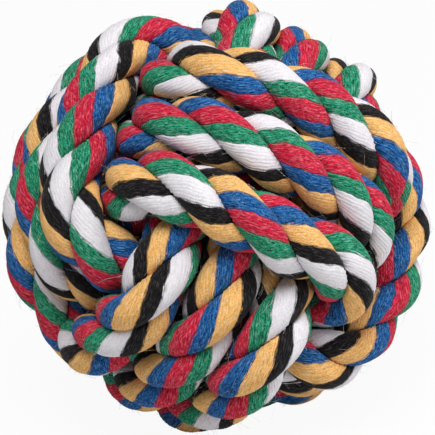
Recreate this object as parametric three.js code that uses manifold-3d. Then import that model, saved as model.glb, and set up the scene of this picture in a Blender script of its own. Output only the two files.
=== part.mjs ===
// Rope ball dog toy: a monkey's fist of one three-strand cotton rope, drawn tight round a core. Sizes in mm.
import * as THREE from "three";
import Module from "manifold-3d";

// The rope
const ROPE_D = 14.4; // where passes press on it from both sides
const FREE_D = 18; // over its three strands, where nothing presses on it
const SIDE_GAP = 1.6; // between the passes of a band, side by side
const LAYER_GAP = 1; // wanted between passes that cross
const LAY = 48; // length of rope in which a strand goes once round it
const STRANDS = 3;
const STRAND_D = 10.4; // a strand by itself, before the strands press each other into thirds of the rope
const STRAND_GAP = 0.4; // left between the strands
const PRESSED_GAP = 1; // left between passes that press each other flat
const STRAND_COLOURS = [0xd8cfd2, 0xc7324b, 0x24548f];

// The knot
const PASSES = 3; // passes of rope side by side in each band
const CORE_D = 44; // the wad that the rope is wound on
const CORE_GAP = 0.4;
const CORE_COLOUR = 0xcfc6b4;
const REST_SHARE = 0.1; // depth of the flats that the ball stands on, as a share of the rope's diameter

// Places on a band, in turns round it: it lies outside at 0 and 1/2, and under the next band at 1/4 and 3/4
const DIVE_FROM = 0.083; // past the middle of a face, where the rope starts down under the next band
const DIVE_OVER = 0.128; // and how long it takes
const STEP_ASIDE_FROM = 0.556; // where the rope moves over to its next pass, hidden under the next band
const STEP_ASIDE_OVER = 0.278;
const CROSSING_RISE = 1.08; // spacings between the two layers
const FIRST_END = -0.172; // the rope's two ends, both hidden under other passes
const LAST_END = 2.68;
const TURN_OFF = 0.083; // past the middle of its last face, where the rope turns off into the next band

// Tied by hand, some passes lie aside by a share of the pitch, and their lay is ahead by a share of a turn
const LIES = [
  { band: 0, turns: 0, aside: 0, ahead: 0.73 },
  { band: 0, turns: 0.55, aside: -0.22, ahead: 0.43 },
  { band: 1, turns: 0.05, aside: -0.05, ahead: 0.24 },
  { band: 1, turns: 1.05, aside: 0.1, ahead: 0.6 },
  { band: 1, turns: 2.05, aside: 0.1, ahead: 0.03 },
  { band: 2, turns: 0.53, aside: -0.19, ahead: 0.79 },
  { band: 2, turns: 1.5, aside: -0.06, ahead: 0.98 },
  { band: 2, turns: 2.57, aside: 0.15, ahead: 0.18 },
];
const ASIDE_OVER = 0.2; // turns from the middle of such a pass to where it lies evenly again
const AHEAD_OVER = 0.58; // lays from the middle of such a pass over which its lay stays ahead

// Settling the knot
const ROUTE_STEPS_PER_TURN = 120;
const ROUTE_STEPS_PER_PITCH = 5;
const ROUNDS = 300;
const PUSH = 0.3;
const SHARED_PUSH = 0.7; // a point with many near ones is pushed by each of them less
const STIFFNESS = 0.06;
const HOLD = 0.006;
const SAME_PASS = 1.7; // rope this many pitches further along counts as another pass

// How finely the pieces are drawn
const CURVE_POINTS = 8; // between two points of the route
const STEPS_PER_LAY = 8;
const FRAMES_PER_STEP = 6; // the rope's run is followed this much finer than the strands are drawn
const BEND_FRAMES = 8; // either side of a frame, that its direction is taken over, so sharp bends stay open
const CROWN_STEPS = 4; // facets across the outside of a strand
const CORE_DETAIL = 5;

const TURN = 2 * Math.PI;
const BANDS = 3;
const UP = new THREE.Vector3(0, 0, 1);
const PITCH = ROPE_D + SIDE_GAP;
const SPACING = ROPE_D + LAYER_GAP;
const ROUTE_STEP = PITCH / ROUTE_STEPS_PER_PITCH;
const FRAME_STEP = LAY / STEPS_PER_LAY / FRAMES_PER_STEP;
const INNER_R = CORE_D / 2 + CORE_GAP + ROPE_D / 2; // rope centre where it lies on the core
const OUTER_R = INNER_R + CROSSING_RISE * SPACING; // rope centre where it lies on another band

const wasm = await Module();
wasm.setup();

function ease(u) {
  const v = Math.min(Math.max(u, 0), 1);
  return v * v * (3 - 2 * v);
}

// The knot has six faces. The axes of three of them are square to each other and lean out and down alike.
function faceAxis(k) {
  const lean = Math.acos(1 / Math.sqrt(3));
  const axis = new THREE.Vector3(Math.sin(lean), 0, -Math.cos(lean));
  return axis.applyAxisAngle(UP, (-TURN / BANDS) * k);
}

function atAxes(k, a, b, c) {
  const point = faceAxis(k).multiplyScalar(a);
  return point.addScaledVector(faceAxis(k + 1), b).addScaledVector(faceAxis(k + 2), c);
}

// A point of band k. Each band is the one before it turned a third of a turn about the upright axis.
function bandPoint(k, turns) {
  const fromFace = Math.abs(turns - Math.round(2 * turns) / 2);
  const radius = OUTER_R - (OUTER_R - INNER_R) * ease((fromFace - DIVE_FROM) / DIVE_OVER);
  let pass = (1 - PASSES) / 2;
  for (let n = 0; n < PASSES - 1; n++) pass += ease((turns - n - STEP_ASIDE_FROM) / STEP_ASIDE_OVER);
  for (const lie of LIES) {
    if (lie.band === k) pass += lie.aside * ease(1 - Math.abs(turns - lie.turns) / ASIDE_OVER);
  }
  const aside = pass * PITCH;
  const out = Math.sqrt(radius * radius - aside * aside);
  return atAxes(k, out * Math.cos(TURN * turns), -out * Math.sin(TURN * turns), aside);
}

// The corner that the rope rounds on its way from the last pass of band k to the first pass of the next.
function turnOff(k) {
  const aside = (PITCH * (PASSES - 1)) / 2;
  const corner = atAxes(k, -aside, Math.sqrt(OUTER_R * OUTER_R - 2 * aside * aside), aside);
  const from = bandPoint(k, PASSES - 0.5 + TURN_OFF);
  const curve = new THREE.QuadraticBezierCurve3(from, corner, bandPoint(k + 1, -TURN_OFF));
  const steps = Math.round(2 * TURN_OFF * ROUTE_STEPS_PER_TURN);
  return curve.getPoints(steps).map((point) => point.setLength(OUTER_R));
}

function looseRoute() {
  const route = [];
  for (let k = 0; k < BANDS; k++) {
    const start = k === 0 ? FIRST_END : -TURN_OFF;
    const end = k === BANDS - 1 ? LAST_END : PASSES - 0.5 + TURN_OFF;
    const steps = Math.round((end - start) * ROUTE_STEPS_PER_TURN);
    for (let n = 0; n <= steps; n++) route.push(bandPoint(k, start + ((end - start) * n) / steps));
    if (k < BANDS - 1) route.push(...turnOff(k).slice(1, -1));
  }
  return route;
}

// The same route with its points a given step apart.
function evenly(points, step) {
  const far = [0];
  for (let i = 1; i < points.length; i++) far.push(far[i - 1] + points[i].distanceTo(points[i - 1]));
  const length = far.at(-1);
  const count = Math.round(length / step);
  const spaced = [];
  let i = 0;
  for (let n = 0; n <= count; n++) {
    const s = (length * n) / count;
    while (i < points.length - 2 && far[i + 1] < s) i++;
    spaced.push(points[i].clone().lerp(points[i + 1], (s - far[i]) / (far[i + 1] - far[i])));
  }
  return spaced;
}

// How far each point is pushed by the passes of rope that lie too close to it.
function pushes(points) {
  const skip = Math.ceil((SAME_PASS * PITCH) / ROUTE_STEP);
  const moves = points.map(() => new THREE.Vector3());
  const near = points.map(() => 0);
  const apart = new THREE.Vector3();
  for (let i = 0; i < points.length; i++) {
    for (let j = i + skip; j < points.length; j++) {
      const distance = apart.subVectors(points[i], points[j]).length();
      if (distance < SPACING) {
        apart.multiplyScalar((PUSH * (SPACING - distance)) / distance);
        moves[i].add(apart);
        moves[j].sub(apart);
        near[i]++;
        near[j]++;
      }
    }
  }
  return moves.map((move, i) => move.divideScalar(Math.max(near[i], 1) ** SHARED_PUSH));
}

// The rope resists bending: each point gives way to the run of the two points on either side of it.
function straighten(points) {
  return points.map((point, i) => {
    if (i < 2 || i > points.length - 3) return point;
    const bend = point.clone().multiplyScalar(6);
    bend.addScaledVector(points[i - 1], -4).addScaledVector(points[i + 1], -4);
    bend.add(points[i - 2]).add(points[i + 2]);
    return point.clone().addScaledVector(bend, -STIFFNESS);
  });
}

// Passes that lie too close push apart, while each point is held near its place on the loose route.
function settle(route) {
  const places = evenly(route, ROUTE_STEP);
  let points = places;
  for (let round = 0; round < ROUNDS; round++) {
    const moves = pushes(points);
    points = straighten(points.map((point, i) => point.clone().add(moves[i])));
    points.forEach((point, i) => point.lerp(places[i], HOLD));
    for (const point of points) point.setLength(Math.max(point.length(), INNER_R));
  }
  return points;
}

// The rope's run as frames: a point, and two directions across the rope that don't turn about it.
function ropeFrames(points) {
  const curve = new THREE.CatmullRomCurve3(points, false, "catmullrom");
  const run = evenly(curve.getPoints(points.length * CURVE_POINTS), FRAME_STEP);
  const across = UP.clone();
  return run.map((point, i) => {
    const ahead = run[Math.min(i + BEND_FRAMES, run.length - 1)];
    const along = ahead.clone().sub(run[Math.max(i - BEND_FRAMES, 0)]).normalize();
    across.addScaledVector(along, -across.dot(along)).normalize();
    return { point, across: across.clone(), beside: along.clone().cross(across) };
  });
}

// How far the lay is ahead at each frame, in turns. It eases from one lie to the next by the shorter way.
function layAhead(frames) {
  const marks = [];
  for (const lie of LIES) {
    const middle = bandPoint(lie.band, lie.turns);
    const far = frames.map((frame) => frame.point.distanceTo(middle));
    const at = far.indexOf(Math.min(...far));
    const held = (AHEAD_OVER * LAY) / FRAME_STEP;
    const before = marks.length ? marks.at(-1).ahead : lie.ahead;
    const ahead = lie.ahead - Math.round(lie.ahead - before);
    marks.push({ at: at - held, ahead }, { at: at + held, ahead });
  }
  return frames.map((_, i) => {
    const next = marks.findIndex((mark) => mark.at > i);
    if (next < 1) return marks.at(next).ahead;
    const { at, ahead } = marks[next - 1];
    return THREE.MathUtils.lerp(ahead, marks[next].ahead, (i - at) / (marks[next].at - at));
  });
}

// The planes that the soft rope can't pass at a frame: one on the core, and one halfway to each point of
// another pass nearby.
function pressingPlanes(frames, i) {
  const here = frames[i].point;
  const skip = Math.ceil((SAME_PASS * PITCH) / FRAME_STEP);
  const overCore = here.length() - CORE_D / 2 - CORE_GAP;
  const planes = [{ toward: here.clone().negate().normalize(), room: overCore }];
  frames.forEach((other, j) => {
    const distance = here.distanceTo(other.point);
    if (Math.abs(j - i) < skip || distance > 2 * FREE_D) return;
    const toward = other.point.clone().sub(here).divideScalar(distance);
    planes.push({ toward, room: (distance - PRESSED_GAP) / 2 });
  });
  return planes;
}

// How far the rope reaches from its middle in one direction, up to the nearest of those planes.
function pressed(radius, away, planes) {
  const rooms = planes.map(({ toward, room }) => {
    const share = away.dot(toward);
    return share > 0 ? room / share : Infinity;
  });
  return Math.min(radius, ...rooms);
}

// Rings of points joined into one closed tube. Each ring goes from the rope's middle over the strand's crown
// and back. The lay turns the rings, so walls and crown are split along opposite diagonals. That keeps the
// walls clear of the next strand and the crown full.
function tube(rings) {
  const sides = rings[0].length;
  const positions = rings.flat().flatMap((point) => point.toArray());
  const index = [];
  for (let i = 0; i < rings.length - 1; i++) {
    for (let j = 0; j < sides; j++) {
      const a = i * sides + j;
      const b = i * sides + ((j + 1) % sides);
      const isWall = j === 0 || j === sides - 1;
      if (isWall) index.push(a, b, b + sides, a, b + sides, a + sides);
      else index.push(a, b, a + sides, b, b + sides, a + sides);
    }
  }
  const last = (rings.length - 1) * sides;
  for (let j = 1; j < sides - 1; j++) {
    index.push(0, j + 1, j);
    index.push(last, last + j, last + j + 1);
  }
  const geometry = new THREE.BufferGeometry();
  geometry.setAttribute("position", new THREE.Float32BufferAttribute(positions, 3));
  return geometry.setIndex(index);
}

// One strand's outline across the rope, as angles and radii about the rope's centre: a round strand, cut off
// where it meets the next one.
function strandOutline() {
  const strandAt = (FREE_D - STRAND_D) / 2;
  const crownRadius = (angle) =>
    strandAt * Math.cos(angle) + Math.sqrt((STRAND_D / 2) ** 2 - (strandAt * Math.sin(angle)) ** 2);
  const meet = TURN / STRANDS / 2;
  const edge = meet - Math.asin(STRAND_GAP / 2 / crownRadius(meet));
  const outline = [{ angle: 0, radius: STRAND_GAP / Math.sin(meet) }];
  for (let n = 0; n <= CROWN_STEPS; n++) {
    const angle = edge * ((2 * n) / CROWN_STEPS - 1);
    outline.push({ angle, radius: crownRadius(angle) });
  }
  return outline;
}

// One strand as rings of points, turned on by its lay.
function strandRings(rings, number) {
  const outline = strandOutline();
  return rings.map(({ point, across, beside, ahead, planes }, i) => {
    const lay = TURN * (i / STEPS_PER_LAY + number / STRANDS + ahead);
    return outline.map(({ angle, radius }) => {
      const away = across.clone().multiplyScalar(Math.cos(lay + angle));
      away.addScaledVector(beside, Math.sin(lay + angle));
      return point.clone().addScaledVector(away, pressed(radius, away, planes));
    });
  });
}

// The least gap between two passes, over points on the crowns of the strands and halfway to the next ring.
function leastGap(rings, strands) {
  const points = rings.slice(1).map((_, i) =>
    strands.flatMap((strand) =>
      strand[i].slice(1).flatMap((point, j) => [point, point.clone().lerp(strand[i + 1][j + 1], 0.5)]),
    ),
  );
  const skip = Math.ceil((SAME_PASS * PITCH) / FRAME_STEP / FRAMES_PER_STEP);
  let least = Infinity;
  points.forEach((crown, i) => {
    for (let j = i + skip; j < points.length; j++) {
      if (rings[i].point.distanceTo(rings[j].point) > 2 * FREE_D) continue;
      for (const point of crown) {
        least = Math.min(least, ...points[j].map((other) => point.distanceTo(other)));
      }
    }
  });
  return least;
}

// What is left of a closed solid above a level.
function cutBelow(geometry, level) {
  const solid = new wasm.Manifold(
    new wasm.Mesh({
      numProp: 3,
      vertProperties: geometry.attributes.position.array,
      triVerts: new Uint32Array(geometry.index.array),
    }),
  );
  const cut = solid.trimByPlane([0, 0, 1], level).getMesh();
  const trimmed = new THREE.BufferGeometry();
  trimmed.setAttribute("position", new THREE.Float32BufferAttribute(cut.vertProperties, 3));
  return trimmed.setIndex(new THREE.BufferAttribute(cut.triVerts, 1));
}

function cotton(colour) {
  return new THREE.MeshStandardMaterial({ color: colour, roughness: 0.95, metalness: 0 });
}

const frames = ropeFrames(settle(looseRoute()));
const ahead = layAhead(frames);
const rings = [];
for (let i = 0; i < frames.length; i += FRAMES_PER_STEP) {
  rings.push({ ...frames[i], ahead: ahead[i], planes: pressingPlanes(frames, i) });
}

const strandsAsRings = Array.from({ length: STRANDS }, (_, k) => strandRings(rings, k));
console.log("least gap between passes", leastGap(rings, strandsAsRings).toFixed(2), "mm");

const ball = new THREE.Group();
const strands = strandsAsRings.map(tube);
const lowest = Math.min(
  ...strands.map((geometry) => {
    geometry.computeBoundingBox();
    return geometry.boundingBox.min.z;
  }),
);
const floor = lowest + REST_SHARE * ROPE_D;
strands.forEach((geometry, k) => {
  const mesh = new THREE.Mesh(cutBelow(geometry, floor), cotton(STRAND_COLOURS[k]));
  mesh.name = "strand_" + (k + 1);
  ball.add(mesh);
});
const core = new THREE.Mesh(new THREE.IcosahedronGeometry(CORE_D / 2, CORE_DETAIL), cotton(CORE_COLOUR));
core.name = "core_wad";
ball.add(core);

// The ball stands on its flats, with the middle of its box over the origin.
const box = new THREE.Box3().setFromObject(ball, true);
const centre = box.getCenter(new THREE.Vector3());
ball.position.set(-centre.x, -centre.y, -floor);

const part = new THREE.Group();
part.add(ball);
export default part;
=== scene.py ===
# %% [markdown]
# # Rope ball dog toy
# The toy is a monkey's fist: one thick cotton rope wound in three bands of three passes and drawn tight
# round a wad. Three strands are laid into the rope, and each strand is twisted from six coloured bundles
# of yarn. The frame gives the place and size of every piece, and this lesson dresses it.

# %% Frame
import math

import bmesh
import bpy
import numpy as np
from mathutils import Matrix, Vector


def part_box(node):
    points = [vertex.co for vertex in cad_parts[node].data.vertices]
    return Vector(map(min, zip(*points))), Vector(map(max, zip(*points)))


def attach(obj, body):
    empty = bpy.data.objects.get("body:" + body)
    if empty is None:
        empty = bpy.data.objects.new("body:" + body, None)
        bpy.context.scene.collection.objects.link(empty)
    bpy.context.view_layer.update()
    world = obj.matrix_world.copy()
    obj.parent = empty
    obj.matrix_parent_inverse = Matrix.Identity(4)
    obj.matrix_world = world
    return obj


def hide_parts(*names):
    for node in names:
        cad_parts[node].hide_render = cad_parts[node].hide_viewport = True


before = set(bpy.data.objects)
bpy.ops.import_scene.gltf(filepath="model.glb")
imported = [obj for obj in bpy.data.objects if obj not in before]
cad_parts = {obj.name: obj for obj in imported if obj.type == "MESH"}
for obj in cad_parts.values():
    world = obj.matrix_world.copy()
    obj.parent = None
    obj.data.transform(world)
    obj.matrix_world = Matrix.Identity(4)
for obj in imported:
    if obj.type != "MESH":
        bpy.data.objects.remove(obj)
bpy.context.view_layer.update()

# %% [markdown]
# ## Sizes of the knot
# A monkey's fist has six faces. Each of its three bands shows on two opposite faces and dives under the
# next band on the two faces between, so the rope lies at one of two distances from the middle: on the wad
# or on another band. Lengths are in mm, and places along a band are in turns round the ball, counted from
# the middle of the band's first face.

# %% Knot sizes
TURN = 2 * math.pi
BANDS = 3
PASSES = 3  # side by side in each band
ROPE_D = 14.4  # where passes press on it from both sides
SIDE_GAP = 1.6  # between passes side by side
LAYER_GAP = 1  # wanted between passes that cross
PITCH = ROPE_D + SIDE_GAP
SPACING = ROPE_D + LAYER_GAP
CROSSING_RISE = 1.08  # spacings between the two layers
INNER_R = 29.6  # the rope's middle where it lies on the wad
OUTER_R = INNER_R + CROSSING_RISE * SPACING  # the rope's middle where it lies on another band
print("the rope lies", INNER_R, "or", round(OUTER_R, 1), "mm from the middle")

# %% [markdown]
# ## A knot tied by hand
# Tied by hand, the rope doesn't lie quite evenly. At the middle of some passes it lies aside by a share of
# the pitch, and its lay and the twists of its three strands are ahead by shares of a turn. Random wobbles
# would be less work, but then each colour would show in some other place. The moves aside were chosen one
# by one. The lay and the twists were worked out outside this script, from strands and colours read by eye.

# %% Uneven lies
LIES = [
    # band, turns, aside, lay ahead, twists ahead
    (0, 0.00, 0.00, 0.73, 0.22, 0.52, 0.10),
    (0, 0.55, -0.22, 0.43, 0.91, 0.38, 0.96),
    (1, 0.05, -0.05, 0.24, 0.93, 0.05, 0.94),
    (1, 1.05, 0.10, 0.60, 0.23, 0.43, 0.87),
    (1, 2.05, 0.10, 0.03, 0.03, 0.46, 0.34),
    (2, 0.53, -0.19, 0.79, 0.33, 0.41, 0.31),
    (2, 1.50, -0.06, 0.98, 0.54, 0.36, 0.72),
    (2, 2.57, 0.15, 0.18, 0.47, 0.93, 0.86),
]
LAY_COLUMN, TWIST_COLUMN = 3, 4
ASIDE_OVER = 0.2  # turns from the middle of such a pass to where it lies evenly again
print(len(LIES), "passes lie unevenly")

# %% [markdown]
# ## One band
# A band goes round and round the ball. Under the next band it steps aside to its next pass, and at the
# next face it is back on top. One formula gives that, and the other two bands are the same band turned a
# third about the upright axis. A curve drawn by hand could do it too, but a formula keeps the bands alike.

# %% Band
DIVE_FROM, DIVE_OVER = 0.083, 0.128  # turns past the middle of a face, where the rope goes down
STEP_ASIDE_FROM, STEP_ASIDE_OVER = 0.556, 0.278  # turns into a pass, where it moves over to the next


def ease(u):
    v = np.clip(u, 0, 1)
    return v * v * (3 - 2 * v)


def at_axes(k, *shares):
    """A place from its distances along three face axes, square to each other, which lean down alike."""
    lean = math.acos(1 / math.sqrt(3))
    place = 0
    for n, share in enumerate(shares):
        bearing = -TURN / BANDS * (k + n)
        level = math.sin(lean)
        axis = (level * math.cos(bearing), level * math.sin(bearing), -math.cos(lean))
        place = place + np.multiply.outer(share, axis)
    return place


def band_point(k, turns):
    from_face = np.abs(turns - np.round(2 * turns) / 2)
    radius = OUTER_R - (OUTER_R - INNER_R) * ease((from_face - DIVE_FROM) / DIVE_OVER)
    step_aside = sum(ease((turns - n - STEP_ASIDE_FROM) / STEP_ASIDE_OVER) for n in range(PASSES - 1))
    aside = PITCH * (step_aside - (PASSES - 1) / 2)
    for band, middle, share, *_ in LIES:
        if band == k:
            aside = aside + PITCH * share * ease(1 - np.abs(turns - middle) / ASIDE_OVER)
    out = np.sqrt(radius**2 - aside**2)
    return at_axes(k, out * np.cos(TURN * turns), -out * np.sin(TURN * turns), aside)


print("the first band's first face is at", band_point(0, 0.0).round(1))

# %% [markdown]
# ## From band to band
# The rope is one unbroken length. From the last pass of a band it rounds a corner of the ball and goes on
# as the first pass of the next band. Both of its ends are tucked under other passes, where they don't show.

# %% Loose route
FIRST_END, LAST_END = -0.172, 2.68
LAST_FACE = PASSES - 0.5
TURN_OFF = 0.083  # turns past the middle of the last face, where the rope leaves the band
POINTS_PER_TURN = 120
CORNER_POINTS = 21


def turn_off(k):
    """The corner that the rope rounds from the last pass of a band to the first pass of the next."""
    aside = PITCH * (PASSES - 1) / 2
    corner = at_axes(k, -aside, math.sqrt(OUTER_R**2 - 2 * aside**2), aside)
    start, end = band_point(k, LAST_FACE + TURN_OFF), band_point(k + 1, -TURN_OFF)
    t = np.linspace(0, 1, CORNER_POINTS)[1:-1, None]
    curve = (1 - t) ** 2 * start + 2 * t * (1 - t) * corner + t**2 * end
    return curve * (OUTER_R / np.linalg.norm(curve, axis=1, keepdims=True))


def loose_route():
    runs = []
    for k in range(BANDS):
        start = FIRST_END if k == 0 else -TURN_OFF
        end = LAST_END if k == BANDS - 1 else LAST_FACE + TURN_OFF
        points = round((end - start) * POINTS_PER_TURN) + 1
        runs.append(band_point(k, np.linspace(start, end, points)))
        if k < BANDS - 1:
            runs.append(turn_off(k))
    return np.concatenate(runs)


loose = loose_route()
print("loose route", len(loose), "points")

# %% [markdown]
# ## Drawing the knot tight
# Where two passes cross, the formula brings them a little too close. Passes that are too close push each
# other apart, the rope resists bending, and every point is held near its place. A cloth or soft body
# simulation could settle it too, but this small loop is quick and always ends the same way.

# %% Settle
POINTS_PER_PITCH = 5
SAME_PASS = 1.7  # rope this many pitches further along counts as another pass
ROUNDS = 300
PUSH = 0.3
SHARED_PUSH = 0.7  # a point with many near ones is pushed by each of them less
STIFFNESS = 0.06
HOLD = 0.006
TINY = 0.001  # keeps a division away from 0


def evenly(points, step):
    far = np.concatenate([[0], np.cumsum(np.linalg.norm(np.diff(points, axis=0), axis=1))])
    wanted = np.linspace(0, far[-1], round(far[-1] / step) + 1)
    return np.stack([np.interp(wanted, far, points[:, n]) for n in range(3)], axis=1)


def pushes(points, another_pass):
    apart = points[:, None] - points[None]
    distance = np.linalg.norm(apart, axis=2)
    close = another_pass & (distance < SPACING)
    push = np.where(close, PUSH * (SPACING - distance) / np.maximum(distance, TINY), 0)
    shared = np.maximum(close.sum(1), 1) ** SHARED_PUSH
    return (push[:, :, None] * apart).sum(1) / shared[:, None]


def settle(route):
    places = evenly(route, PITCH / POINTS_PER_PITCH)
    number = np.arange(len(places))
    another_pass = np.abs(number[:, None] - number[None]) >= math.ceil(SAME_PASS * POINTS_PER_PITCH)
    points = places
    for _ in range(ROUNDS):
        points = points + pushes(points, another_pass)
        bend = points[:-4] - 4 * points[1:-3] + 6 * points[2:-2] - 4 * points[3:-1] + points[4:]
        points[2:-2] -= STIFFNESS * bend
        points += HOLD * (places - points)
        far = np.linalg.norm(points, axis=1, keepdims=True)
        points = points * np.maximum(far, INNER_R) / far
    return points


settled = settle(loose)
print("settled route", len(settled), "points")

# %% [markdown]
# ## The rope's run
# A smooth curve through the settled points carries a frame along: two directions across the rope that
# don't turn about it. Everything in the rope is then placed by its distance along the run and an angle
# about it. A curve object with a bevel would sweep one round section, but not strands that are pressed
# flat differently all along.

# %% Rope run
MM = 1000  # in a metre
STEP = 1.0  # along the run
CURVE_POINTS = 8  # between two settled points


def smooth_run(points, step):
    """A curve through the points, with its own points a step apart."""
    padded = np.concatenate([[2 * points[0] - points[1]], points, [2 * points[-1] - points[-2]]])
    before, here, there, after = padded[:-3, None], padded[1:-2, None], padded[2:-1, None], padded[3:, None]
    t = np.linspace(0, 1, CURVE_POINTS, endpoint=False)[None, :, None]
    leave, arrive = (there - before) / 2, (after - here) / 2
    curve = (2 * t**3 - 3 * t**2 + 1) * here + (t**3 - 2 * t**2 + t) * leave
    curve = curve + (3 * t**2 - 2 * t**3) * there + (t**3 - t**2) * arrive
    return evenly(np.concatenate([curve.reshape(-1, 3), points[-1:]]), step)


def rope_frames(run):
    along = np.gradient(run, axis=0)
    along /= np.linalg.norm(along, axis=1, keepdims=True)
    across = np.zeros_like(run)
    latest = np.array([0.0, 0.0, 1.0])
    for i, ahead in enumerate(along):
        latest = latest - latest.dot(ahead) * ahead
        latest /= np.linalg.norm(latest)
        across[i] = latest
    return along, across, np.cross(along, across)


wad_low, wad_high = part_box("core_wad")
centre = np.array((wad_low + wad_high) / 2) * MM
run = smooth_run(settled, STEP)
along, across, beside = rope_frames(run)
far_along = np.arange(len(run)) * STEP
print("rope length", len(run) * STEP, "mm, ball centre", centre.round(2))

# %% [markdown]
# ## Room between the passes
# The soft rope is thicker than the space it has, so neighbouring passes press each other flat. A rope may
# reach up to the halfway plane to any other pass, and down to the wad inside. A physics simulation could
# press them together, but planes are quick and keep every pass on its own side. The room is worked out
# round the rope at each step of the run, once for all the strands.

# %% Room
FREE_R = 9.0  # over the strands, where nothing presses on the rope
NEARBY = 3 * FREE_R
DIRECTIONS = 96  # round the rope
HALF_GAP = 0.05  # from a pass to the halfway plane or the wad
HARDLY_TOWARD = 0.1  # a direction that points at a neighbour or the wad less than this has room
WAD_R = (wad_high - wad_low).x / 2 * MM


def room_round_rope():
    angles = np.arange(DIRECTIONS) * TURN / DIRECTIONS
    room = np.zeros((len(run), DIRECTIONS))
    for i, here in enumerate(run):
        between = run - here
        distance = np.linalg.norm(between, axis=1)
        another = (distance < NEARBY) & (np.abs(far_along - far_along[i]) > NEARBY)
        sideways = np.outer(np.cos(angles), across[i]) + np.outer(np.sin(angles), beside[i])
        toward = np.maximum(sideways @ between[another].T, HARDLY_TOWARD)
        halfway = distance[another] * (distance[another] / 2 - HALF_GAP)
        room[i] = np.min(halfway / toward, axis=1, initial=NEARBY)
        height = np.linalg.norm(here)
        inward = np.maximum(-sideways @ here / height, HARDLY_TOWARD)
        room[i] = np.minimum(room[i], (height - WAD_R - HALF_GAP) / inward)
    return room


room = room_round_rope()
print("least room", round(room.min(), 2), "mm for a rope of radius", FREE_R)

# %% [markdown]
# ## Strand shape
# In the rope the three strands press each other into thirds, so a strand is round on the outside and flat
# where it meets the next. Three round tubes would be simpler, but they would leave holes between them. The
# reach of a strand from its own middle is the round one, or the flat wall where that is nearer.

# %% Strand shape
STRANDS = 3
STRAND_R = 0.58 * FREE_R
STRAND_AT = FREE_R - STRAND_R  # from the rope's middle to the strand's own
WALL_GAP = 0.03  # from a strand to the wall that it shares with the next


def strand_reach(angle):
    """How far a strand reaches from its own middle at an angle from straight out."""
    half_third = TURN / STRANDS / 2
    reach = np.full(np.shape(angle), STRAND_R)
    for side in (1, -1):
        outward = -math.sin(half_third) * np.cos(angle) + side * math.cos(half_third) * np.sin(angle)
        wall = (STRAND_AT * math.sin(half_third) - WALL_GAP) / np.maximum(outward, TINY)
        reach = np.minimum(reach, wall)
    return reach


print("a strand reaches", round(STRAND_R, 2), "mm out and", strand_reach(math.pi).round(2), "mm in")

# %% [markdown]
# ## Lay of the strands
# The strands go round the rope together, which is the lay. Where the rope was turned a little in the hand,
# the lay is ahead or behind, and it changes slowly from one such place to the next. It could be a twist on
# a straight rope that is bent afterwards, but angles about the run do both at once.

# %% Lay
LAY = 48  # length of rope in which a strand goes once round it
AHEAD_OVER = 0.58 * LAY  # to either side of the middle of an uneven pass


def eased_ahead(column):
    """One column of the lies, spread along the rope by the shorter way from one to the next."""
    places, values = [], []
    for lie in LIES:
        nearest = np.argmin(np.linalg.norm(run - band_point(lie[0], lie[1]), axis=1))
        latest = values[-1] if values else lie[column]
        values += [lie[column] - round(lie[column] - latest)] * 2
        places += [far_along[nearest] - AHEAD_OVER, far_along[nearest] + AHEAD_OVER]
    return np.interp(far_along, places, values)


def strand_directions(strand):
    """A strand's angle about the rope, the way out of the rope through its middle, and the way round."""
    lay = TURN * (far_along / LAY + strand / STRANDS + eased_ahead(LAY_COLUMN))
    out = np.cos(lay)[:, None] * across + np.sin(lay)[:, None] * beside
    return lay, out, np.cross(along, out)


print("a strand goes", round(np.ptp(strand_directions(0)[0]) / TURN, 1), "times round the rope")

# %% [markdown]
# ## Colour borders
# A strand is twisted the other way from the lay, which makes its colours run almost along the rope. White
# has the most yarn and black the least, and one strand has its colours the other way round from the other
# two. A border between two colours is an angle about the strand. It wanders a little, because no yarn is
# quite as thick as the next.

# %% Colour borders
TWIST = -2.15  # turns of a strand about itself in one lay
WIDTHS = {"white": 1.16, "green": 0.92, "red": 1.03, "blue": 0.96, "gold": 1.09, "black": 0.84}
COLOURS = list(WIDTHS)
BORDERS = np.cumsum([-WIDTHS["white"] / 2, *WIDTHS.values()]) / sum(WIDTHS.values())
COLOUR_ORDER = [1, -1, -1]
BORDER_WAVES = [(70, 0.06), (31, 0.04), (9, 0.03), (4, 0.025)]  # lengths in mm, heights in radians
WAVE_SPREAD = (0.8, 1.25)  # by which the waves vary


def drift(seed, waves):
    """A slow uneven run of values about 0, from waves of these lengths in mm and these heights."""
    chance = np.random.default_rng(seed)
    values = np.zeros(len(far_along))
    for length, height in waves:
        turns = far_along / length * chance.uniform(*WAVE_SPREAD) + chance.random()
        values += height * np.sin(TURN * turns)
    return values


def border_angle(strand, border):
    """Where a bundle of a strand meets the one before it, as an angle about the strand."""
    turned = TWIST * far_along / LAY + eased_ahead(TWIST_COLUMN + strand)
    turned = turned + COLOUR_ORDER[strand] * BORDERS[border]
    return TURN * turned + drift(10 * strand + border % len(COLOURS), BORDER_WAVES)


print("borders at", BORDERS.round(3), "of a turn")

# %% [markdown]
# ## Pressing
# Where a strand would reach past the room that its pass has, it is pressed back. That happens softly, so
# the rope rounds off into its flats, as cotton does. The bends that the ball stands on flatten in the
# same way against the ground. Cutting them off with a plane would leave sharp edges.

# %% Pressing
PRESSED_EDGE = 0.8  # how softly the rope rounds off into its flats
FOOT_DEPTH = 1.0  # height below which the bends are eased onto the ground


def pressed(far_out, angle):
    """Distances from the rope's middle, with those that would pass the room there pressed back."""
    place = angle / TURN % 1 * DIRECTIONS
    low = place.astype(int) % DIRECTIONS
    ring = np.arange(len(run))[:, None]
    there = room[ring, low] + (place % 1) * (room[ring, (low + 1) % DIRECTIONS] - room[ring, low])
    return (far_out + there - np.sqrt((far_out - there) ** 2 + PRESSED_EDGE**2)) / 2


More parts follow.
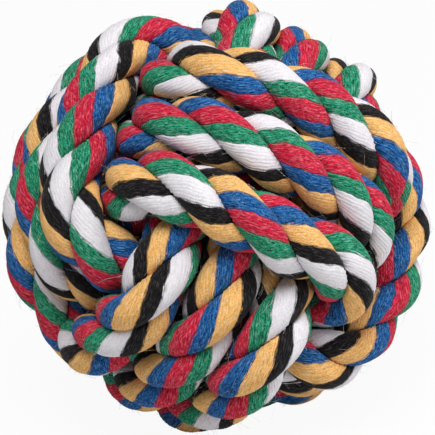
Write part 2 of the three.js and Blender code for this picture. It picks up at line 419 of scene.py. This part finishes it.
def pressed_flat(places):
    """Places with those near the ground eased onto it, so that none goes below."""
    height = places[..., 2]
    eased = FOOT_DEPTH * np.exp(np.minimum(height / FOOT_DEPTH - 1, 0))
    places[..., 2] = np.where(height < FOOT_DEPTH, eased, height)
    return places


print("rope pressed on at", round(100 * np.mean(room < FREE_R)), "% of its outside")

# %% [markdown]
# ## Coloured bundles
# A bundle is one coloured part of a strand: a wedge from the strand's middle to its outside, which bulges
# between its borders and has a ridge for every yarn. The colours could be painted on a smooth strand, but
# bundles of their own shade each other, as yarn does. A bundle could be a curve with a bevel shape, but
# its section changes all along. A grid is made with an operator instead, its points are set in place, and
# its open edges are merged and closed.

# %% Bundle places
YARNS = 7  # across the outside of a bundle
RIDGE = 0.05  # depth of the groove between two yarns
GROOVE_WAVES = [(23, 0.5), (7, 0.4)]  # lengths in mm, heights as shares of a ridge
LOBE = 0.22  # how much lower a bundle is at its borders


def bundle_places(strand, bundle):
    """Rows of points, one row at each step of the run, from the strand's middle round and back to it."""
    lay, out, round_the_rope = strand_directions(strand)
    start, end = border_angle(strand, bundle), border_angle(strand, bundle + 1)
    point = np.arange(2 * YARNS + 1)
    share = point / (2 * YARNS)
    angle = start[:, None] + (end - start)[:, None] * share
    seeds = 1000 * strand + 100 * bundle + point  # one for every groove
    groove = RIDGE * (1 + np.stack([drift(seed, GROOVE_WAVES) for seed in seeds], axis=1))
    reach = strand_reach(angle) - LOBE * np.abs(2 * share - 1) ** 3 - groove * (point % 2 == 0)
    outward, sideways = STRAND_AT + reach * np.cos(angle), reach * np.sin(angle)
    far_out = np.hypot(outward, sideways)
    share_left = pressed(far_out, lay[:, None] + np.arctan2(sideways, outward)) / far_out
    edge = (share_left * outward)[:, :, None] * out[:, None]
    edge = run[:, None] + edge + (share_left * sideways)[:, :, None] * round_the_rope[:, None]
    middle = (run + STRAND_AT * out)[:, None]
    return np.concatenate([middle, edge, middle], axis=1) + centre


print("a bundle has", bundle_places(0, 0).shape[:2], "points along and across")

# %% Bundles
MERGED = 1e-7  # distance within which the points of the seam become one


def new_piece(name, shape):
    """An object at the origin, made from a finished shape."""
    mesh = bpy.data.meshes.new(name)
    shape.to_mesh(mesh)
    shape.free()
    mesh.shade_smooth()
    piece = bpy.data.objects.new(name, mesh)
    bpy.context.scene.collection.objects.link(piece)
    return piece


def bundle_piece(strand, bundle):
    places = pressed_flat(bundle_places(strand, bundle)) / MM
    rings, points = places.shape[:2]
    shape = bmesh.new()
    shape.loops.layers.uv.new("UVMap")
    bmesh.ops.create_grid(shape, x_segments=points - 1, y_segments=rings - 1, size=1, calc_uvs=True)
    for vert, place in zip(shape.verts, places.reshape(-1, 3)):
        vert.co = place
    seam = [vert for n, vert in enumerate(shape.verts) if n % points in (0, points - 1)]
    bmesh.ops.remove_doubles(shape, verts=seam, dist=MERGED)
    bmesh.ops.holes_fill(shape, edges=[edge for edge in shape.edges if edge.is_boundary])
    bmesh.ops.recalc_face_normals(shape, faces=shape.faces)
    return new_piece(f"strand_{strand + 1}_{COLOURS[bundle]}", shape)


bundles = {}
for strand in range(STRANDS):
    for bundle in range(len(COLOURS)):
        piece = bundle_piece(strand, bundle)
        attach(piece, "root")
        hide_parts(f"strand_{strand + 1}")
        bundles[strand, bundle] = piece
print(len(bundles), "bundles of", len(piece.data.polygons), "faces")

# %% [markdown]
# ## Core wad
# Inside is a wad of cotton that the rope is wound on. The rope hides it, and only glimpses of it could
# show, deep between the passes. It could be sculpted, but a plain ball is enough.

# %% Core wad
wad_shape = bmesh.new()
bmesh.ops.create_icosphere(wad_shape, subdivisions=5, radius=(wad_high - wad_low).x / 2)
bmesh.ops.translate(wad_shape, verts=wad_shape.verts, vec=(wad_low + wad_high) / 2)
wad = new_piece("wad", wad_shape)
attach(wad, "root")
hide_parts("core_wad")
print("wad", len(wad.data.polygons), "faces")

# %% [markdown]
# ## Node helpers
# The cotton is made of shader nodes. A node takes three lines to make, set and link, and the yarns need
# dozens, so a few helpers make one in a line each. A painted picture could show the cotton too, but nodes
# stay sharp close up and need no file.

# %% Node helpers
def join(tree, value, socket):
    if isinstance(value, bpy.types.NodeSocket):
        tree.links.new(value, socket)
    else:
        socket.default_value = value


def maths(tree, operation, *values):
    node = tree.nodes.new("ShaderNodeMath")
    node.operation = operation
    for socket, value in zip(node.inputs, values):
        join(tree, value, socket)
    return node.outputs[0]


def kept_between(tree, low, value, high):
    return maths(tree, "MINIMUM", maths(tree, "MAXIMUM", value, low), high)


def noise(tree, place, scale, detail):
    """Noise about 0."""
    node = tree.nodes.new("ShaderNodeTexNoise")
    node.inputs["Scale"].default_value = scale
    node.inputs["Detail"].default_value = detail
    tree.links.new(place, node.inputs["Vector"])
    return maths(tree, "SUBTRACT", node.outputs["Fac"], 0.5)


def place_of(tree, *values):
    node = tree.nodes.new("ShaderNodeCombineXYZ")
    for socket, value in zip(node.inputs, values):
        join(tree, value, socket)
    return node.outputs[0]


def split(tree, vector):
    node = tree.nodes.new("ShaderNodeSeparateXYZ")
    tree.links.new(vector, node.inputs[0])
    return node.outputs


def mixed(tree, share, first, second):
    node = tree.nodes.new("ShaderNodeMix")
    node.data_type = "RGBA"
    for name, value in (("Factor", share), ("A", first), ("B", second)):
        join(tree, value, node.inputs[name])
    return node.outputs["Result"]


def shaded(tree, colour, shade):
    node = tree.nodes.new("ShaderNodeVectorMath")
    node.operation = "SCALE"
    join(tree, colour, node.inputs[0])
    join(tree, shade, node.inputs["Scale"])
    return node.outputs[0]


# %% [markdown]
# ## Yarns
# Every bundle is the same soft, matte cotton and only its dye differs, so the yarns are one node group that
# all six materials share. It reads the piece's own UV map, in which one direction goes across the yarns and
# the other runs along them. Dark lines of painted shade lie in the grooves between the yarns, which wander
# a little. At its borders a bundle is ragged, where yarns stray into the next colour. Fine streaks are the
# single fibres, specks and pale flecks are their ends, and they show more in a dark dye than in a pale one.
# The pale flecks are partly paler fibre ends and partly painted sheen. Each yarn could be a mesh of its
# own, but that would be far heavier.

# %% Yarn values
WANDER = 0.9  # yarns from side to side
WANDER_ALONG = 0.12  # changes in each mm
GROOVE_SHADE_EDGE = 2.0  # a higher one makes the lines between yarns narrower
PASS_APART = 150.0  # changes in each metre up, so that neighbouring passes differ
STRAYED_YARNS = 0.6  # from a border
STRAYED_AT_BORDER = 0.5  # share of the yarns there
RAGGED, RAGGED_BY = (2.8, 0.5, 3.0), 5.0  # changes across each yarn and along each mm, detail, strength
STREAKS, STREAKS_BY = (2.6, 0.7, 2.0), 3.2
# pale flecks: partly paler fibre ends, partly painted sheen
FLECK_AND_SHEEN_RUN, FLECK_AND_SHEEN_BY, MOST_FLECK_AND_SHEEN = (2.6, 0.9, 3.0), 3.2, 0.8
SPECKS, SPECKS_BY = 2800.0, 3.4  # changes in each metre, strength
# painted shade: how much the grooves between yarns darken the colour
GROOVE_SHADE_BY = -0.5
LEAST_SHADE = 0.1
STREAK_HEIGHT = 0.8  # of a yarn's height
print(YARNS * len(COLOURS), "yarns on the outside of a strand")


# %% Yarn group
def yarn_sockets(tree):
    for name in ("Dye", "Dye before", "Dye after", "Fleck and sheen"):
        tree.interface.new_socket(name, in_out="INPUT", socket_type="NodeSocketColor")
    tree.interface.new_socket("Grain", in_out="INPUT", socket_type="NodeSocketFloat")
    tree.interface.new_socket("Colour", in_out="OUTPUT", socket_type="NodeSocketColor")
    tree.interface.new_socket("Height", in_out="OUTPUT", socket_type="NodeSocketFloat")
    return tree.nodes.new("NodeGroupInput").outputs, tree.nodes.new("NodeGroupOutput").inputs


def new_yarn_group():
    tree = bpy.data.node_groups.new("cotton_yarns", "ShaderNodeTree")
    given, put_out = yarn_sockets(tree)
    where = tree.nodes.new("ShaderNodeTexCoord").outputs
    across_yarns, along_yarns, _ = split(tree, where["UV"])
    length = maths(tree, "MULTIPLY", along_yarns, float(len(run)))
    height = maths(tree, "MULTIPLY", split(tree, where["Object"])["Z"], PASS_APART)
    # The flat sides of the wedge take half a yarn of the map each.
    straight = maths(tree, "MULTIPLY_ADD", across_yarns, YARNS + 1.0, -0.5)

    slow = place_of(tree, straight, maths(tree, "MULTIPLY", length, WANDER_ALONG), height)
    yarn = maths(tree, "MULTIPLY_ADD", noise(tree, slow, scale=1.0, detail=2.0), WANDER, straight)
    ridge = maths(tree, "ABSOLUTE", maths(tree, "SINE", maths(tree, "MULTIPLY", yarn, math.pi)))
    # painted shade along the grooves between yarns
    groove_shade = maths(tree, "POWER", maths(tree, "SUBTRACT", 1.0, ridge), GROOVE_SHADE_EDGE)

    def streaks(across_scale, along_scale, detail):
        across_place = maths(tree, "MULTIPLY", yarn, across_scale)
        along_place = maths(tree, "MULTIPLY", length, along_scale)
        place = place_of(tree, across_place, along_place, height)
        return noise(tree, place, scale=1.0, detail=detail)

    dye = given["Dye"]
    ragged = maths(tree, "MULTIPLY_ADD", streaks(*RAGGED), RAGGED_BY, STRAYED_AT_BORDER)
    from_last = maths(tree, "SUBTRACT", float(YARNS), straight)
    for from_border, next_dye in ((straight, given["Dye before"]), (from_last, given["Dye after"])):
        strayed = maths(tree, "MULTIPLY_ADD", from_border, -1 / STRAYED_YARNS, ragged)
        dye = mixed(tree, kept_between(tree, 0.0, strayed, 1.0), dye, next_dye)

    streak = streaks(*STREAKS)
    speck = noise(tree, where["Object"], scale=SPECKS, detail=1.0)
    speck = maths(tree, "MULTIPLY", speck, SPECKS_BY)
    grain = maths(tree, "MULTIPLY_ADD", streak, STREAKS_BY, speck)
    # the painted shade of the grooves joins the grain here
    grain = maths(tree, "MULTIPLY_ADD", groove_shade, GROOVE_SHADE_BY, grain)
    shade = maths(tree, "MAXIMUM", maths(tree, "MULTIPLY_ADD", grain, given["Grain"], 1.0), LEAST_SHADE)
    # pale flecks mixed into the colour at random, partly painted sheen
    fleck_and_sheen = maths(tree, "MULTIPLY", streaks(*FLECK_AND_SHEEN_RUN), FLECK_AND_SHEEN_BY)
    fleck_and_sheen = kept_between(tree, 0.0, fleck_and_sheen, MOST_FLECK_AND_SHEEN)
    join(tree, mixed(tree, fleck_and_sheen, shaded(tree, dye, shade), given["Fleck and sheen"]), put_out["Colour"])
    join(tree, maths(tree, "MULTIPLY_ADD", streak, STREAK_HEIGHT, ridge), put_out["Height"])
    return tree


yarn_group = new_yarn_group()
print("yarn group", len(yarn_group.nodes), "nodes")

# %% [markdown]
# ## Cotton finishes
# Cotton is rough all over and has hardly any shine, only a little sheen from its fibres. Each of the six
# dyes is a material of its own around the yarn group. It knows the dyes of its two neighbours, because
# yarns of those stray into it. One material with a colour ramp could do for all six, but separate ones can
# be changed one at a time. The wad is pale raw cotton but is painted dark instead, as painted shade, so
# that no bright spot shows in the depth of the knot.

# %% Cotton finishes
COTTONS = {
    # dye, paler fibre ends that are partly painted sheen, grain
    "white": ((0.78, 0.75, 0.79), (0.84, 0.82, 0.85), 0.14),
    "green": ((0.010, 0.215, 0.11), (0.21, 0.56, 0.40), 0.85),
    "red": ((0.53, 0.013, 0.042), (0.83, 0.22, 0.27), 0.55),
    "blue": ((0.008, 0.082, 0.27), (0.15, 0.35, 0.60), 0.85),
    "gold": ((0.83, 0.45, 0.14), (0.92, 0.70, 0.45), 0.30),
    "black": ((0.007, 0.006, 0.007), (0.075, 0.068, 0.068), 0.8),
}
COTTON_FEEL = {"Roughness": 0.92, "Specular IOR Level": 0.10, "Sheen Weight": 0.05, "Sheen Roughness": 0.5}
YARN_BUMP = {"Strength": 0.3, "Distance": 0.0003}  # the distance is in metres
PLAIN_ROUGHNESS = 0.95
# painted shade: the wad is pale raw cotton, but is coloured dark so that it stays dark deep in the knot
WAD_PAINTED_SHADE = (0.10, 0.09, 0.08)


def set_values(node, values):
    for name, value in values.items():
        node.inputs[name].default_value = value


def cotton(bundle):
    name, before, after = (COLOURS[n % len(COLOURS)] for n in (bundle, bundle - 1, bundle + 1))
    dye, fleck_and_sheen, grain = COTTONS[name]
    material = bpy.data.materials.new(f"cotton_{name}")
    material.use_nodes = True
    nodes, links = material.node_tree.nodes, material.node_tree.links
    surface = nodes["Principled BSDF"]
    set_values(surface, COTTON_FEEL)
    yarns = nodes.new("ShaderNodeGroup")
    yarns.node_tree = yarn_group
    dyes = {"Dye": dye, "Dye before": COTTONS[before][0], "Dye after": COTTONS[after][0], "Fleck and sheen": fleck_and_sheen}
    set_values(yarns, {socket: (*colour, 1) for socket, colour in dyes.items()})
    set_values(yarns, {"Grain": grain})
    bump = nodes.new("ShaderNodeBump")
    set_values(bump, YARN_BUMP)
    links.new(yarns.outputs["Colour"], surface.inputs["Base Color"])
    links.new(yarns.outputs["Height"], bump.inputs["Height"])
    links.new(bump.outputs["Normal"], surface.inputs["Normal"])
    return material


def plain_matte(name, colour):
    material = bpy.data.materials.new(name)
    material.use_nodes = True
    surface = material.node_tree.nodes["Principled BSDF"]
    set_values(surface, {"Base Color": (*colour, 1), "Roughness": PLAIN_ROUGHNESS})
    return material


cottons = [cotton(bundle) for bundle in range(len(COLOURS))]
for (strand, bundle), piece in bundles.items():
    piece.data.materials.append(cottons[bundle])
# the wad's dark colour is painted shade
wad.data.materials.append(plain_matte("cotton_wad", WAD_PAINTED_SHADE))
print("finishes", [material.name for material in cottons])

# %% [markdown]
# ## Stray fibres
# Worked cotton sheds short fibre ends, which soften the outline and the borders between colours. A hair
# system would be hard to keep in one place, so each fibre is a short bent curve with a little thickness,
# and all of them are made one mesh. They grow only on the outside of the ball, and each has the paler
# fibre-end colour of its bundle, which is partly painted sheen.

# %% Fibre shape
ROOT_DEPTH = 0.25  # below the strand's outside
SHOWING_R = OUTER_R - 4  # nearer the middle, the next passes hide a fibre
LONG_SHARE = 0.12
LONG_LENGTH, LONG_LIFT = (2, 5), (0.3, 1.5)
SHORT_LENGTH, SHORT_LIFT = (0.7, 1.8), (0.25, 0.6)
SPREAD, CURL, ARCH = 0.35, 0.2, 2.2  # how far fibres turn aside, curl and arch
FIBRE_SHARES = np.array([0, 0.5, 1])[:, None]


def fibre_points(chance, i, angle, out, round_the_rope):
    """The points of a fibre that leaves a strand's outside, or none where the rope hides that place."""
    away = math.cos(angle) * out[i] + math.sin(angle) * round_the_rope[i]
    root = run[i] + STRAND_AT * out[i] + (STRAND_R - ROOT_DEPTH) * away
    if np.linalg.norm(root) < SHOWING_R or away.dot(root) < 0:
        return None
    long_one = chance.random() < LONG_SHARE
    length = chance.uniform(*(LONG_LENGTH if long_one else SHORT_LENGTH))
    lift = chance.uniform(*(LONG_LIFT if long_one else SHORT_LIFT))
    sweep = along[i] * chance.choice([-1, 1]) + chance.normal(0, SPREAD, 3)
    curl = chance.normal(0, CURL * length, 3) * FIBRE_SHARES**2
    return root + length * FIBRE_SHARES * sweep + lift * np.sin(FIBRE_SHARES * ARCH) * away + curl


print("fibres", SHORT_LENGTH[0], "to", LONG_LENGTH[1], "mm long")

# %% Stray fibres
FIBRES = 7000
FIBRE_R = 0.00002  # in metres, as a curve's bevel is
ROPE_END = 10  # steps of the run without fibres
STRAND_SIDE = 1.4  # radians to either side of straight out


def new_threads():
    threads = bpy.data.curves.new("stray_fibres", "CURVE")
    threads.dimensions = "3D"
    threads.bevel_depth = FIBRE_R
    threads.bevel_resolution = 0
    for name in COLOURS:
        # each fibre takes its bundle's paler fibre-end colour, which is partly painted sheen
        threads.materials.append(plain_matte(f"fibre_{name}", COTTONS[name][1]))
    return threads


def add_thread(threads, points, colour):
    thread = threads.splines.new("POLY")
    thread.points.add(len(points) - 1)
    thread.material_index = colour
    for point, place in zip(thread.points, pressed_flat(points + centre) / MM):
        point.co = (*place, 1)
        point.radius = 1


def stray_fibres():
    chance = np.random.default_rng(7)
    threads = new_threads()
    sides = [strand_directions(strand) for strand in range(STRANDS)]
    first_borders = [border_angle(strand, 0) for strand in range(STRANDS)]
    while len(threads.splines) < FIBRES:
        strand = chance.integers(STRANDS)
        i = chance.integers(ROPE_END, len(run) - ROPE_END)
        angle = chance.uniform(-STRAND_SIDE, STRAND_SIDE)
        points = fibre_points(chance, i, angle, *sides[strand][1:])
        if points is None:
            continue
        past_first = COLOUR_ORDER[strand] * (angle - first_borders[strand][i]) / TURN % 1
        add_thread(threads, points, int(np.searchsorted(BORDERS[1:-1], BORDERS[0] + past_first)))
    shaped = bpy.data.objects.new("stray_fibres", threads)
    bpy.context.scene.collection.objects.link(shaped)
    mesh = bpy.data.meshes.new_from_object(shaped)
    bpy.data.objects.remove(shaped)
    piece = bpy.data.objects.new("stray_fibres", mesh)
    bpy.context.scene.collection.objects.link(piece)
    return piece


fibres = stray_fibres()
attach(fibres, "root")
print("fibres", len(fibres.data.polygons), "faces")

# %% [markdown]
# ## Floor
# The toy is shown on plain white. A floor that is only lit would show grey and an edge against the world,
# so it glows white on the rays that show it and stays plain paper on the rays that light the toy. A faint
# shadow is left where the toy stands. Lengths are in metres from here on.

# %% Floor
FLOOR_HALF = 3
PAPER = (0.75, 0.75, 0.75)
GLOW_SHARE = 0.94


def shown(tree):
    """1 on a ray that shows something to the viewer, directly or in a shine, 0 on one that lights it."""
    path = tree.nodes.new("ShaderNodeLightPath").outputs
    straight = maths(tree, "MAXIMUM", path["Is Camera Ray"], path["Is Transmission Ray"])
    return maths(tree, "MAXIMUM", straight, path["Is Glossy Ray"])


def white_paper():
    paper = plain_matte("white_paper", PAPER)
    nodes, links = paper.node_tree.nodes, paper.node_tree.links
    mix = nodes.new("ShaderNodeMixShader")
    links.new(maths(paper.node_tree, "MULTIPLY", shown(paper.node_tree), GLOW_SHARE), mix.inputs["Fac"])
    links.new(nodes["Principled BSDF"].outputs["BSDF"], mix.inputs[1])
    links.new(nodes.new("ShaderNodeEmission").outputs["Emission"], mix.inputs[2])
    links.new(mix.outputs["Shader"], nodes["Material Output"].inputs["Surface"])
    return paper


floor_shape = bmesh.new()
bmesh.ops.create_grid(floor_shape, x_segments=1, y_segments=1, size=FLOOR_HALF)
floor = new_piece("floor", floor_shape)
floor.data.materials.append(white_paper())
print("floor", [round(v, 2) for v in floor.dimensions])

# %% [markdown]
# ## Light
# The toy is lit as in a studio: a large soft lamp overhead, a weaker one from the right and a dim surround,
# which leaves the gaps between the passes dark. The world is white where the viewer sees it and dim where
# it lights the toy. An even white world alone would make the rope look flat.

# %% Light
DIM_SURROUND = 0.17

world = bpy.data.worlds.new("studio")
bpy.context.scene.world = world
world.use_nodes = True
surround = world.node_tree.nodes["Background"].inputs
surround["Color"].default_value = (1, 1, 1, 1)
strength = maths(world.node_tree, "MAXIMUM", shown(world.node_tree), DIM_SURROUND)
join(world.node_tree, strength, surround["Strength"])
ball_middle = Vector(centre / MM)


def soft_lamp(name, place, size, watts):
    lamp = bpy.data.lights.new(name, "AREA")
    lamp.shape = "DISK"
    lamp.size = size
    lamp.energy = watts
    holder = bpy.data.objects.new(name, lamp)
    holder.location = place
    holder.rotation_euler = (ball_middle - Vector(place)).to_track_quat("-Z", "Y").to_euler()
    bpy.context.scene.collection.objects.link(holder)
    return holder


lamps = [
    soft_lamp("lamp_above", place=(0.0, -0.42, 0.9), size=0.6, watts=8.2),
    soft_lamp("lamp_right", place=(0.75, -0.1, 0.3), size=0.5, watts=2.5),
]
print("lamps", [(lamp.name, round(lamp.data.energy, 1)) for lamp in lamps])

# %% [markdown]
# ## Camera
# The toy is seen from a little above, about seven times its width away, so that near and far loops look
# almost alike in size. The view has a slight roll, as the real ball leans a little. The ball could be
# leaned instead, but then it would no longer stand on its flats.

# %% Camera
AZIMUTH, ELEVATION, ROLL = math.radians(-0.5), math.radians(24), math.radians(6.2)
DISTANCE = 0.82
FIELD = 0.1147  # width of what is seen at the ball
AIM_RIGHT, AIM_UP = 0.0006, -0.0001  # from the ball's middle to the picture's
SENSOR_WIDTH = 36

toward = Matrix.Rotation(AZIMUTH, 3, "Z") @ Vector((0, -math.cos(ELEVATION), math.sin(ELEVATION)))
level = Vector((math.cos(AZIMUTH), math.sin(AZIMUTH), 0))
upright = toward.cross(level)
right = level * math.cos(ROLL) - upright * math.sin(ROLL)
up = level * math.sin(ROLL) + upright * math.cos(ROLL)
eye = ball_middle + right * AIM_RIGHT + up * AIM_UP + toward * DISTANCE

lens = bpy.data.cameras.new("camera")
lens.sensor_width = SENSOR_WIDTH
lens.lens = SENSOR_WIDTH * DISTANCE / FIELD
lens.clip_start = 0.01
camera = bpy.data.objects.new("camera", lens)
camera.matrix_world = Matrix((
    (right.x, up.x, toward.x, eye.x),
    (right.y, up.y, toward.y, eye.y),
    (right.z, up.z, toward.z, eye.z),
    (0, 0, 0, 1),
))
bpy.context.scene.collection.objects.link(camera)
bpy.context.scene.camera = camera
bpy.context.scene.view_settings.view_transform = "Standard"
print("lens", round(lens.lens, 1), "mm")
